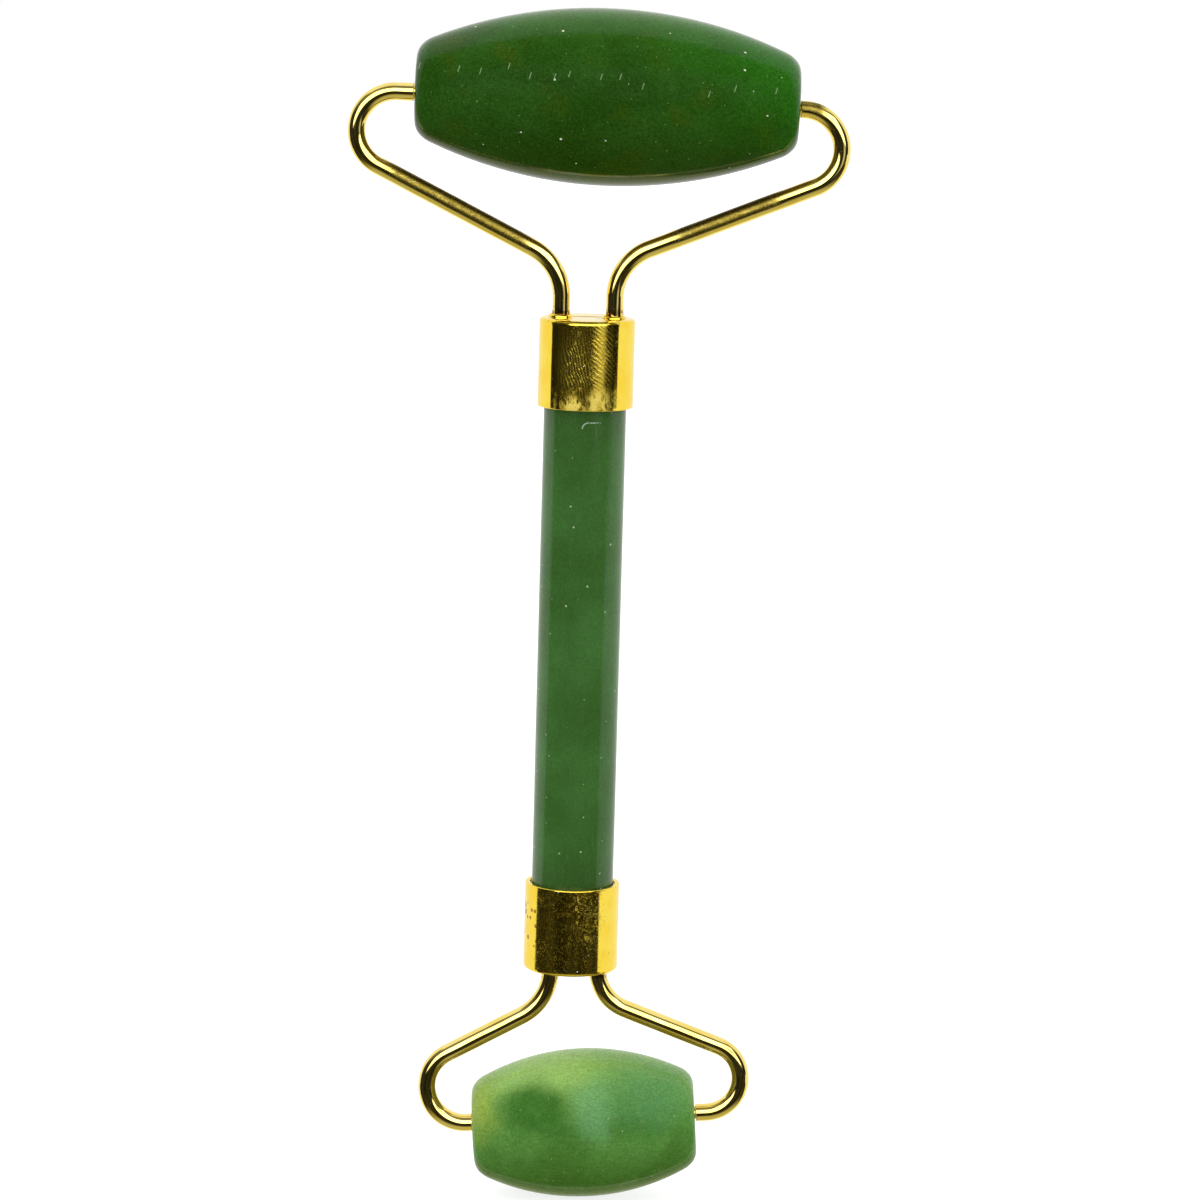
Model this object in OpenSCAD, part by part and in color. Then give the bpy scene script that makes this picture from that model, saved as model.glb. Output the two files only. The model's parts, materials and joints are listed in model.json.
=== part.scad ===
// Double-ended stone face roller. A round stone handle carries a drawn brass cup
// at each end. Two bent wire arms leave each cup, curl back towards each other and
// hold a barrel-shaped stone that turns on plastic sleeves.
// +Z runs along the handle towards the large stone, X runs across the yokes and
// the origin is the centre of the handle. Each yoke is drawn pointing up from the
// handle, and the small one is mirrored to the other end.

/* [Handle] */
// Diameter of the stone handle
handle_d = 10; // [8:0.5:12]
// Length of handle left bare between the two cups
grip_len = 58.8; // [40:0.2:90]
// Depth that each end of the handle enters its cup
handle_inset = 6.2; // [4:0.1:7]

/* [Cups] */
// Length of a cup over its closed end
cup_len = 10.8; // [10:0.1:14]
// Wall thickness of a cup
cup_wall = 0.6; // [0.4:0.05:0.8]
// Room for glue between the handle and the cup wall
glue_gap = 0.2; // [0.1:0.05:0.3]
// Rounding of the closed end's outer edge
cup_edge_r = 0.5; // [0.2:0.05:0.5]
// Rounding of the lip at the open end
cup_lip_r = 0.15; // [0.05:0.05:0.15]

/* [Wire] */
// Diameter of the arm wire
wire_d = 2.2; // [1.6:0.1:2.4]
// Diameter of the pin turned on the wire's end
pin_d = 1.6; // [1.2:0.1:1.6]
// Depth of the pin inside the stone
pin_depth = 7.2; // [5:0.1:7.6]
// Length of wire inside the glue behind the cup's closed end
tail_len = 3; // [2:0.1:3.4]
// Radius of the braze bead around the wire where it leaves the cup
braze_r = 0.35; // [0.2:0.05:0.5]

/* [Large yoke] */
// Distance of the left wire from the handle axis
large_left_root = 3.2; // [2.4:0.1:3.6]
// Distance of the right wire from the handle axis
large_right_root = 3.25; // [2.4:0.05:3.6]
// Bend radius of the left wire above the cup
large_left_bend_r = 6.6; // [5:0.1:7]
// Bend radius of the right wire above the cup
large_right_bend_r = 6.3; // [5:0.1:7]
// Slope of the left arm above the horizontal
large_left_slope = 26.5; // [24:0.5:28]
// Slope of the right arm above the horizontal
large_right_slope = 22; // [20:0.5:25]
// Radius of the left end loop
large_left_loop_r = 4.7; // [4.2:0.1:5.4]
// Radius of the right end loop
large_right_loop_r = 4.8; // [4.2:0.1:5.4]
// Straight run of the left wire beside the stone
large_left_run = 2.05; // [0.15:0.05:3]
// Straight run of the right wire beside the stone
large_right_run = 0.4; // [0.15:0.05:3]

/* [Small yoke] */
// Distance of the left wire from the handle axis
small_left_root = 2.4; // [2.2:0.1:3.4]
// Distance of the right wire from the handle axis
small_right_root = 3.4; // [2.4:0.1:3.5]
// Bend radius of the left wire below the cup
small_left_bend_r = 6.7; // [5:0.1:6.7]
// Bend radius of the right wire below the cup
small_right_bend_r = 5.3; // [4.5:0.1:5.4]
// Slope of the left arm
small_left_slope = 29; // [28:0.5:31]
// Slope of the right arm
small_right_slope = 20.5; // [20:0.5:22]
// Radius of the left end loop
small_left_loop_r = 4.7; // [4.2:0.1:5.2]
// Radius of the right end loop
small_right_loop_r = 4.4; // [4.2:0.1:4.8]
// Straight run of the left wire beside the stone
small_left_run = 0.7; // [0.15:0.05:2]
// Straight run of the right wire beside the stone
small_right_run = 1.3; // [0.15:0.05:2]

/* [Large stone] */
// Length of the large stone
large_len = 46; // [44:0.2:50]
// Greatest diameter of the large stone
large_d = 21.2; // [19:0.2:23]
// Radius of the large stone's barrel curve
large_crown_r = 53.8; // [50:0.2:70]
// Diameter of the flat on each end of the large stone
large_face_d = 9.6; // [8:0.2:10]
// Sideways offset of the large stone from the handle axis
large_offset = 1.7; // [1.5:0.05:2]
// Height of the large stone's axis above the handle centre
large_height = 66.3; // [66:0.1:68]
// Tilt of the large stone's axis, positive when the right end is higher
large_tilt = -1; // [-1.5:0.25:0]
// Distance of the large stone's middle beyond its drilled axis, away from the handle
large_drill_offset = 0.4; // [0:0.1:0.8]

/* [Small stone] */
// Length of the small stone
small_len = 27.5; // [26:0.1:27.8]
// Greatest diameter of the small stone
small_d = 18.3; // [17:0.1:20]
// Radius of the small stone's barrel curve
small_crown_r = 27.5; // [26:0.5:40]
// Diameter of the flat on each end of the small stone
small_face_d = 10; // [8:0.2:10.4]
// Sideways offset of the small stone from the handle axis
small_offset = 2.2; // [2:0.05:2.2]
// Distance of the small stone's axis below the handle centre
small_height = 59.3; // [59.2:0.1:61]
// Tilt of the small stone's axis, positive when the right end is higher
small_tilt = 4.2; // [3.8:0.1:4.6]
// Distance of the small stone's middle beyond its drilled axis, away from the handle
small_drill_offset = 0.6; // [0:0.1:0.8]

/* [Sleeves] */
// Outer diameter of a plastic sleeve
sleeve_d = 2.9; // [2.4:0.1:3.4]
// Depth of the hole drilled in each end of a stone
pocket_depth = 8; // [8:0.1:10]
// Bevel at the mouth of the hole
mouth_bevel = 0.3; // [0.1:0.05:0.4]
// Gap between the large stone and the left wire's shoulder
large_left_gap = 0.2; // [0.1:0.05:0.6]
// Gap between the large stone and the right wire's shoulder
large_right_gap = 0.2; // [0.1:0.05:0.6]
// Gap between the small stone and the left wire's shoulder
small_left_gap = 0.1; // [0.1:0.05:0.6]
// Gap between the small stone and the right wire's shoulder
small_right_gap = 0.15; // [0.1:0.05:0.6]

/* [Fits] */
// Radial play of a turning fit
running_gap = 0.03; // [0.02:0.01:0.06]
// Film left between parts that are glued or brazed together
bond_gap = 0.02; // [0.01:0.01:0.03]

/* [Hidden] */
$fn = 64;
LEFT = -1;
RIGHT = 1;
cup_od = handle_d + 2 * (glue_gap + cup_wall);
cup_id = cup_od - 2 * cup_wall;
cup_mouth_z = grip_len / 2;
cup_face_z = cup_mouth_z + cup_len;
cup_floor_z = cup_face_z - cup_wall;
handle_len = grip_len + 2 * handle_inset;
// bevel on the handle's ends, the pins' tips and the wires' shoulders
handle_bevel = 0.4;
pin_bevel = 0.2;
shoulder_bevel = 0.1;
// the wire loses a hair of its diameter in a bend, and a straight run laps over it
bend_thinning = 0.02;
wire_lap = 0.05;
// the glue line stops just short of the cup's mouth
glue_setback = 0.3;
pocket_d = sleeve_d + 2 * running_gap;
sleeve_bore_d = pin_d + 2 * running_gap;
sleeve_len = pocket_depth - bond_gap;
// a cut that runs past the face it opens
past = 1;

// A yoke's stone: [length, offset, height, tilt], seen with the yoke pointing up.
large_seat = [large_len, large_offset, large_height, large_tilt];
small_seat = [small_len, small_offset, small_height, -small_tilt];
// An arm: [root, bend radius, slope, loop radius, run beside the stone, gap].
large_left = [
    large_left_root, large_left_bend_r, large_left_slope,
    large_left_loop_r, large_left_run, large_left_gap
];
large_right = [
    large_right_root, large_right_bend_r, large_right_slope,
    large_right_loop_r, large_right_run, large_right_gap
];
small_left = [
    small_left_root, small_left_bend_r, small_left_slope,
    small_left_loop_r, small_left_run, small_left_gap
];
small_right = [
    small_right_root, small_right_bend_r, small_right_slope,
    small_right_loop_r, small_right_run, small_right_gap
];

// ---- Helpers

// A vector of length r at an angle a from +X.
function polar(r, a) = [r * cos(a), r * sin(a)];

// The small yoke is drawn pointing up and mirrored below the handle.
module small_end() {
    mirror([0, 0, 1])
        children();
}

// Straight wire along the line from p to q, both given as [x, z], run on into the
// bend at each end.
module straight(p, q) {
    run = q - p;
    translate([p.x, 0, p.y])
        rotate([0, atan2(run.x, run.y), 0])
            translate([0, 0, -wire_lap])
                cylinder(h = norm(run) + 2 * wire_lap, d = wire_d);
}

// A bent wire in the XZ plane: an arc of radius r about c, from angle start on.
module bend(c, r, start, sweep) {
    translate([c.x, 0, c.y])
        rotate([90, 0, 0])
            rotate_extrude(angle = sweep, start = start)
                translate([r, 0])
                    circle(d = wire_d - bend_thinning);
}

// Puts a solid drawn along +Z onto a stone's axis, with its origin at the stone's
// centre and +Z towards the right end.
module on_axis(seat) {
    translate([seat[1], 0, seat[2]])
        rotate([0, 90 - seat[3], 0])
            children();
}

// ---- Handle and cups

module handle_rod() {
    color([0.22, 0.42, 0.2])
        translate([0, 0, -handle_len / 2])
            rotate_extrude()
                polygon([
                    [0, 0],
                    [handle_d / 2 - handle_bevel, 0],
                    [handle_d / 2, handle_bevel],
                    [handle_d / 2, handle_len - handle_bevel],
                    [handle_d / 2 - handle_bevel, handle_len],
                    [0, handle_len]
                ]);
}

// Half section of a cup standing on its mouth.
module cup_section() {
    lip_mid = cup_od / 2 - cup_wall / 2;
    difference() {
        union() {
            square([cup_od / 2 - cup_edge_r, cup_len]);
            translate([0, cup_lip_r])
                square([cup_od / 2, cup_len - cup_edge_r - cup_lip_r]);
            translate([cup_od / 2 - cup_edge_r, cup_len - cup_edge_r])
                circle(r = cup_edge_r);
            translate([lip_mid, 0])
                square([cup_wall / 2 - cup_lip_r, cup_lip_r]);
            translate([cup_od / 2 - cup_lip_r, cup_lip_r])
                circle(r = cup_lip_r);
        }
        translate([0, -past])
            square([cup_id / 2, cup_len - cup_wall + past]);
    }
}

// A drawn cup over the handle's upper end, with a hole in its closed end for
// each wire.
module cup(left, right) {
    difference() {
        translate([0, 0, cup_mouth_z])
            rotate_extrude()
                cup_section();
        for (x = [LEFT * left[0], RIGHT * right[0]]) {
            translate([x, 0, cup_floor_z - past])
                cylinder(h = cup_wall + 2 * past, d = wire_d + 2 * bond_gap);
        }
    }
}

// The glue that fills a cup: a plug around the wires' tails, and a thin sleeve
// around the handle's end.
module glue(left, right) {
    glue_z = cup_mouth_z + glue_setback;
    plug_z = handle_len / 2 + bond_gap;
    difference() {
        translate([0, 0, glue_z])
            cylinder(h = cup_floor_z - bond_gap - glue_z, d = cup_id - 2 * bond_gap);
        translate([0, 0, glue_z - past])
            cylinder(h = plug_z - glue_z + past, d = handle_d + 2 * bond_gap);
        for (x = [LEFT * left[0], RIGHT * right[0]]) {
            translate([x, 0, cup_face_z - cup_wall - tail_len - bond_gap])
                cylinder(h = tail_len + past, d = wire_d + 2 * bond_gap);
        }
    }
}

module large_cup() {
    color([0.83, 0.66, 0.25])
        cup(large_left, large_right);
}

module small_cup() {
    color([0.83, 0.66, 0.25])
        small_end()
            cup(small_left, small_right);
}

module large_glue() {
    color([0.86, 0.84, 0.72])
        glue(large_left, large_right);
}

module small_glue() {
    color([0.86, 0.84, 0.72])
        small_end()
            glue(small_left, small_right);
}

// ---- Wire arms

// One arm of a yoke, drawn on the right and mirrored for the left. It leaves the
// cup straight up, bends out along its slope, and loops back to the stone's axis,
// where a shoulder leaves a thinner pin.
module arm(side, a, seat) {
    root = a[0];
    bend_r = a[1];
    slope = a[2];
    loop_r = a[3];
    tilt = side * seat[3];
    axis = polar(1, tilt);

    // the loop hangs from the stone's axis and meets the sloping run
    shoulder = [side * seat[1], seat[2]] + (seat[0] / 2 + a[5]) * axis;
    loop_out = shoulder + a[4] * axis;
    loop_c = loop_out + polar(loop_r, tilt - 90);
    loop_in = loop_c + polar(loop_r, slope - 90);

    // the sloping run meets the root's upright at the corner
    corner = [root, loop_in.y - (loop_in.x - root) * tan(slope)];
    corner_run = bend_r * tan((90 - slope) / 2);
    bend_c = [root + bend_r, corner.y - corner_run];
    bend_out = corner + polar(corner_run, slope);

    tail_z = cup_floor_z - tail_len;

    mirror([side == LEFT ? 1 : 0, 0, 0]) {
        straight([root, tail_z + wire_lap], [root, bend_c.y]);
        bend(bend_c, bend_r, 90 + slope, 90 - slope);
        straight(bend_out, loop_in);
        bend(loop_c, loop_r, slope - 90, 180 + tilt - slope);
        translate([loop_out.x, 0, loop_out.y])
            rotate([0, -90 - tilt, 0])
                wire_end(a[4], a[5] + pin_depth);
    }
}

// The last of the wire, along +Z from the loop: a short full-size run up to the
// bevelled shoulder, then the pin.
module wire_end(run, pin_len) {
    rotate_extrude()
        polygon([
            [0, -wire_lap],
            [wire_d / 2, -wire_lap],
            [wire_d / 2, run - shoulder_bevel],
            [wire_d / 2 - shoulder_bevel, run],
            [pin_d / 2, run],
            [pin_d / 2, run + pin_len - pin_bevel],
            [pin_d / 2 - pin_bevel, run + pin_len],
            [0, run + pin_len]
        ]);
}

module large_arm_left() {
    color([0.85, 0.69, 0.3])
        arm(LEFT, large_left, large_seat);
}

module large_arm_right() {
    color([0.85, 0.69, 0.3])
        arm(RIGHT, large_right, large_seat);
}

module small_arm_left() {
    color([0.85, 0.69, 0.3])
        small_end()
            arm(LEFT, small_left, small_seat);
}

module small_arm_right() {
    color([0.85, 0.69, 0.3])
        small_end()
            arm(RIGHT, small_right, small_seat);
}

// A bead of braze around the wire on the cup's closed end.
module braze(side, a) {
    translate([side * a[0], 0, cup_face_z + bond_gap])
        rotate_extrude()
            difference() {
                intersection() {
                    translate([wire_d / 2, 0])
                        circle(r = braze_r);
                    square([wire_d, braze_r]);
                }
                square([wire_d / 2 + bond_gap, braze_r]);
            }
}

module large_braze_left() {
    color([0.8, 0.6, 0.3])
        braze(LEFT, large_left);
}

module large_braze_right() {
    color([0.8, 0.6, 0.3])
        braze(RIGHT, large_right);
}

module small_braze_left() {
    color([0.8, 0.6, 0.3])
        small_end()
            braze(LEFT, small_left);
}

module small_braze_right() {
    color([0.8, 0.6, 0.3])
        small_end()
            braze(RIGHT, small_right);
}

// ---- Stones and sleeves

// A barrel about Z: a crowned side cut by flat ends and a bevel at each rim.
module barrel(len, d, crown_r, face_d) {
    half = len / 2;
    bevel = (d - face_d) / 2;
    rotate_extrude()
        intersection() {
            translate([d / 2 - crown_r, 0])
                circle(r = crown_r, $fn = 360);
            polygon([
                [0, -half],
                [face_d / 2, -half],
                [face_d / 2 + bevel, bevel - half],
                [face_d / 2 + bevel, half - bevel],
                [face_d / 2, half],
                [0, half]
            ]);
        }
}

// The hole drilled in one end of a stone for a sleeve, opening towards +Z.
module pocket(half) {
    translate([0, 0, half - pocket_depth])
        cylinder(h = pocket_depth + past, d = pocket_d);
    translate([0, 0, half - mouth_bevel])
        cylinder(h = 2 * mouth_bevel, d1 = pocket_d, d2 = pocket_d + 4 * mouth_bevel);
}

module stone(len, d, crown_r, face_d, drill_offset) {
    difference() {
        translate([-drill_offset, 0, 0])
            barrel(len, d, crown_r, face_d);
        pocket(len / 2);
        mirror([0, 0, 1])
            pocket(len / 2);
    }
}

// A plastic sleeve between the pin and the stone, flush with the stone's end.
module sleeve(side, half) {
    mirror([0, 0, side == LEFT ? 1 : 0])
        translate([0, 0, half - sleeve_len])
            difference() {
                cylinder(h = sleeve_len, d = sleeve_d);
                translate([0, 0, -past])
                    cylinder(h = sleeve_len + 2 * past, d = sleeve_bore_d);
            }
}

module large_roller() {
    color([0.12, 0.33, 0.1])
        on_axis(large_seat)
            stone(large_len, large_d, large_crown_r, large_face_d, large_drill_offset);
}

module small_roller() {
    color([0.38, 0.6, 0.34])
        small_end()
            on_axis(small_seat)
                stone(small_len, small_d, small_crown_r, small_face_d, small_drill_offset);
}

module large_sleeve_left() {
    color([0.93, 0.92, 0.86])
        on_axis(large_seat)
            sleeve(LEFT, large_len / 2);
}

module large_sleeve_right() {
    color([0.93, 0.92, 0.86])
        on_axis(large_seat)
            sleeve(RIGHT, large_len / 2);
}

module small_sleeve_left() {
    color([0.93, 0.92, 0.86])
        small_end()
            on_axis(small_seat)
                sleeve(LEFT, small_len / 2);
}

module small_sleeve_right() {
    color([0.93, 0.92, 0.86])
        small_end()
            on_axis(small_seat)
                sleeve(RIGHT, small_len / 2);
}

handle_rod();
large_cup();
small_cup();
large_glue();
small_glue();
large_arm_left();
large_arm_right();
small_arm_left();
small_arm_right();
large_braze_left();
large_braze_right();
small_braze_left();
small_braze_right();
large_roller();
small_roller();
large_sleeve_left();
large_sleeve_right();
small_sleeve_left();
small_sleeve_right();
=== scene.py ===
"""Looks for the double-ended stone face roller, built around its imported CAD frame.

Forms are worked out in millimetres and turned into metres as each piece is made. The front of
the roller faces -Y, its handle runs along Z and the large stone is at the top.
"""

import json
import math
from functools import partial, reduce

import bmesh
import bpy
import numpy as np
from mathutils import Matrix, Vector
from mathutils.geometry import tessellate_polygon


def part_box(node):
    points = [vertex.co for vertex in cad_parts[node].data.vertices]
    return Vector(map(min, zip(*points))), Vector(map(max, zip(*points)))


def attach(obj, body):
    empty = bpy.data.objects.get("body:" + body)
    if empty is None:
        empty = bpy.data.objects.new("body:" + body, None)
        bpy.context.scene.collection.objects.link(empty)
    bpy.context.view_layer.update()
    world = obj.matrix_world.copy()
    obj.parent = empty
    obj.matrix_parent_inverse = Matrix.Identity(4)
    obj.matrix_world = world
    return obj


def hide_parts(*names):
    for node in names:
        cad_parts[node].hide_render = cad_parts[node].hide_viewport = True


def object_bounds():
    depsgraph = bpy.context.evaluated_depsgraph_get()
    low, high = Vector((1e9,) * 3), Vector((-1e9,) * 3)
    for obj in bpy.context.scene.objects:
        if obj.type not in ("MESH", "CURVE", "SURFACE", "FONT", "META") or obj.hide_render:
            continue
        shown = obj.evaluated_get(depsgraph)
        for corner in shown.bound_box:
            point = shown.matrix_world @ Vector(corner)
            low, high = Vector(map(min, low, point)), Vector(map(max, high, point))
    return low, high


MM = 0.001
LEFT, RIGHT = -1, 1
SIDE_NAMES = {LEFT: "left", RIGHT: "right"}

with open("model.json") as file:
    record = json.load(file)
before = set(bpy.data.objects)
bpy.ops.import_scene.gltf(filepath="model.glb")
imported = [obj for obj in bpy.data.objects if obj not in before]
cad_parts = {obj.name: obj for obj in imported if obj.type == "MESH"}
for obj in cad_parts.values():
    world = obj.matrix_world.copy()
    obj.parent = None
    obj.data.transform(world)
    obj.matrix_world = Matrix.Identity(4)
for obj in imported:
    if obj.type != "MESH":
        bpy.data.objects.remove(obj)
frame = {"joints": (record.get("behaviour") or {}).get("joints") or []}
cad_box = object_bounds()
joints = {joint["name"]: joint for joint in frame["joints"]}

# Sizes that the CAD part states, in millimetres.
HANDLE_R = 5.0
HANDLE_BEVEL = 0.4
WIRE_R = 1.1
PIN_R = 0.8
PIN_DEPTH = 7.2
TAIL_LEN = 3.0
CUP_WALL = 0.6
CUP_EDGE_R = 0.5
CUP_LIP_R = 0.15
BRAZE_R = 0.35
SLEEVE_R = 1.45
RUNNING_GAP = 0.03
POCKET_R = SLEEVE_R + RUNNING_GAP
POCKET_DEPTH = 8.0
MOUTH_BEVEL = 0.3
BOND_GAP = 0.02

# How far a piece may stray from the box of the CAD node it stands for, in millimetres.
FIT_TOLERANCE = 0.35

# The radius at which the marks on the cups are laid out, in millimetres.
CUP_MARKS_R = 5.6


class Stone:
    """Where a stone sits and how big it is. up is 1 at the top end and -1 at the bottom. Its own
    Z runs along its axis to the right. The barrel's middle lies off that drilled axis, off_axis
    along the stone's own X."""

    def __init__(self, end, up, length, diameter, crown_r, face_d, tilt, off_axis):
        self.end = end
        self.up = up
        self.half = length / 2
        self.radius = diameter / 2
        self.crown_r = crown_r
        self.face_r = face_d / 2
        self.tilt = tilt
        self.off_axis = off_axis
        self.centre = Vector(joints[end + "_spin"]["pos_m"]) / MM
        axis = Vector(joints[end + "_end_play"]["axis"]).normalized()
        depth = Vector((0, 1, 0))
        turn = Matrix((depth.cross(axis), depth, axis)).transposed()
        self.place = Matrix.Translation(self.centre * MM) @ turn.to_4x4()


class Arm:
    """One wire arm, drawn on the right with its yoke pointing up. From the cup it goes straight
    up at root, bends outwards to its slope, and loops back to a straight run that stops at a
    shoulder, gap away from the stone."""

    def __init__(self, stone, side, root, bend_r, slope, loop_r, run, gap):
        self.stone = stone
        self.side = side
        self.root = root
        self.bend_r = bend_r
        self.slope = math.radians(slope)
        self.loop_r = loop_r
        self.run = run
        self.gap = gap


LARGE = Stone("large", up=1, length=46.0, diameter=21.2, crown_r=53.8, face_d=9.6,
              tilt=-1.0, off_axis=-0.4)
SMALL = Stone("small", up=-1, length=27.5, diameter=18.3, crown_r=27.5, face_d=10.0,
              tilt=-4.2, off_axis=0.6)
ARMS = {
    LARGE: (Arm(LARGE, LEFT, root=3.2, bend_r=6.6, slope=26.5, loop_r=4.7, run=2.05, gap=0.2),
            Arm(LARGE, RIGHT, root=3.25, bend_r=6.3, slope=22.0, loop_r=4.8, run=0.4, gap=0.2)),
    SMALL: (Arm(SMALL, LEFT, root=2.4, bend_r=6.7, slope=29.0, loop_r=4.7, run=0.7, gap=0.1),
            Arm(SMALL, RIGHT, root=3.4, bend_r=5.3, slope=20.5, loop_r=4.4, run=1.3, gap=0.15)),
}


# ---- Forms

class Form:
    """The vertices and faces of one closed form, in millimetres."""

    def __init__(self):
        self.verts = []
        self.faces = []

    def ring(self, points):
        first = len(self.verts)
        self.verts.extend(points)
        return list(range(first, len(self.verts)))

    def bridge(self, a, b):
        """Faces between two rings; a ring of one vertex closes the other with a fan."""
        count = max(len(a), len(b))
        for i in range(count):
            j = (i + 1) % count
            if len(a) == 1:
                self.faces.append((a[0], b[j], b[i]))
            elif len(b) == 1:
                self.faces.append((a[i], a[j], b[0]))
            else:
                self.faces.append((a[i], a[j], b[j], b[i]))

    def plate(self, outer, holes):
        """A flat face inside the outer ring, with a hole for each inner ring."""
        loops = [outer] + holes
        index = [i for loop in loops for i in loop]
        corners = [[Vector(self.verts[i]) for i in loop] for loop in loops]
        for triangle in tessellate_polygon(corners):
            self.faces.append(tuple(index[k] for k in triangle))

    def lathe(self, profile, sides, shape=None):
        """Turns a profile of (radius, height) about Z and returns its first and last rings.
        shape(radius, angle, height) gives arrays of the radius and height to use instead."""
        angles = np.linspace(0, 2 * math.pi, sides, endpoint=False)
        rings = []
        for r, z in profile:
            if r < 1e-6:
                rings.append(self.ring([(0.0, 0.0, z)]))
                continue
            radii, heights = np.full(sides, r), np.full(sides, z)
            if shape:
                radii, heights = shape(radii, angles, heights)
            xs, ys = radii * np.cos(angles), radii * np.sin(angles)
            rings.append(self.ring(list(zip(xs.tolist(), ys.tolist(), heights.tolist()))))
        for a, b in zip(rings, rings[1:]):
            self.bridge(a, b)
        return rings[0], rings[-1]

    def circle(self, x, r, z, sides):
        angles = np.linspace(0, 2 * math.pi, sides, endpoint=False)
        return self.ring([(x + r * math.cos(a), r * math.sin(a), z) for a in angles])

    def build(self, name, place=None):
        """The form as a smooth-shaded object, with its faces turned outwards."""
        mesh = bpy.data.meshes.new(name)
        mesh.from_pydata([tuple(c * MM for c in v) for v in self.verts], [], self.faces)
        work = bmesh.new()
        work.from_mesh(mesh)
        bmesh.ops.recalc_face_normals(work, faces=work.faces)
        work.to_mesh(mesh)
        work.free()
        mesh.shade_smooth()
        piece = bpy.data.objects.new(name, mesh)
        bpy.context.scene.collection.objects.link(piece)
        if place:
            piece.matrix_world = place
        return piece


def polyline(corners, spacing):
    """Points along (x, y, fillet) corners, rounded by their fillets and at most spacing apart."""
    points = [Vector(corners[0][:2])]
    for before, corner, after in zip(corners, corners[1:], corners[2:]):
        at, fillet = Vector(corner[:2]), corner[2]
        into = (at - Vector(before[:2])).normalized()
        out = (Vector(after[:2]) - at).normalized()
        turn = into.angle_signed(out)
        if fillet <= 0 or abs(turn) < 1e-4:
            points.append(at)
            continue
        reach = fillet * math.tan(abs(turn) / 2)
        start = at - into * reach
        side = math.copysign(1, turn)
        centre = start + Vector((into.y, -into.x)) * fillet * side
        steps = max(3, math.ceil(abs(turn) / math.radians(9)))
        for i in range(steps + 1):
            points.append(centre + Matrix.Rotation(-turn * i / steps, 2) @ (start - centre))
    points.append(Vector(corners[-1][:2]))
    dense = [points[0]]
    for a, b in zip(points, points[1:]):
        steps = max(1, math.ceil((b - a).length / spacing))
        dense.extend(a.lerp(b, i / steps) for i in range(1, steps + 1))
    return [tuple(p) for p in dense]


def ripple(seed, waves, amount):
    """A smooth random function of an angle and a length, for the slight unevenness of handwork."""
    rng = np.random.default_rng(seed)
    terms = [
        (rng.integers(0, 5), rng.uniform(-waves, waves), rng.uniform(0, 2 * math.pi))
        for _ in range(9)
    ]

    def value(angle, length):
        total = sum(np.cos(m * angle + k * length + p) for m, k, p in terms)
        return amount * total / 3
    return value


def finish_piece(piece, body, slot, material, *nodes):
    """Puts a finished piece on its body in place of the CAD nodes it stands for."""
    corners = np.array([piece.matrix_world @ v.co for v in piece.data.vertices])
    for node in nodes:
        low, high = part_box(node)
        gap = max(abs(corners.min(0) - low).max(), abs(corners.max(0) - high).max()) / MM
        if gap > FIT_TOLERANCE:
            raise ValueError(f"{piece.name} is {gap:.2f} mm off {node}")
    piece.data.materials.append(material)
    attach(piece, body)
    if nodes:
        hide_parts(*nodes)
    return piece


# ---- Node helpers

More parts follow.
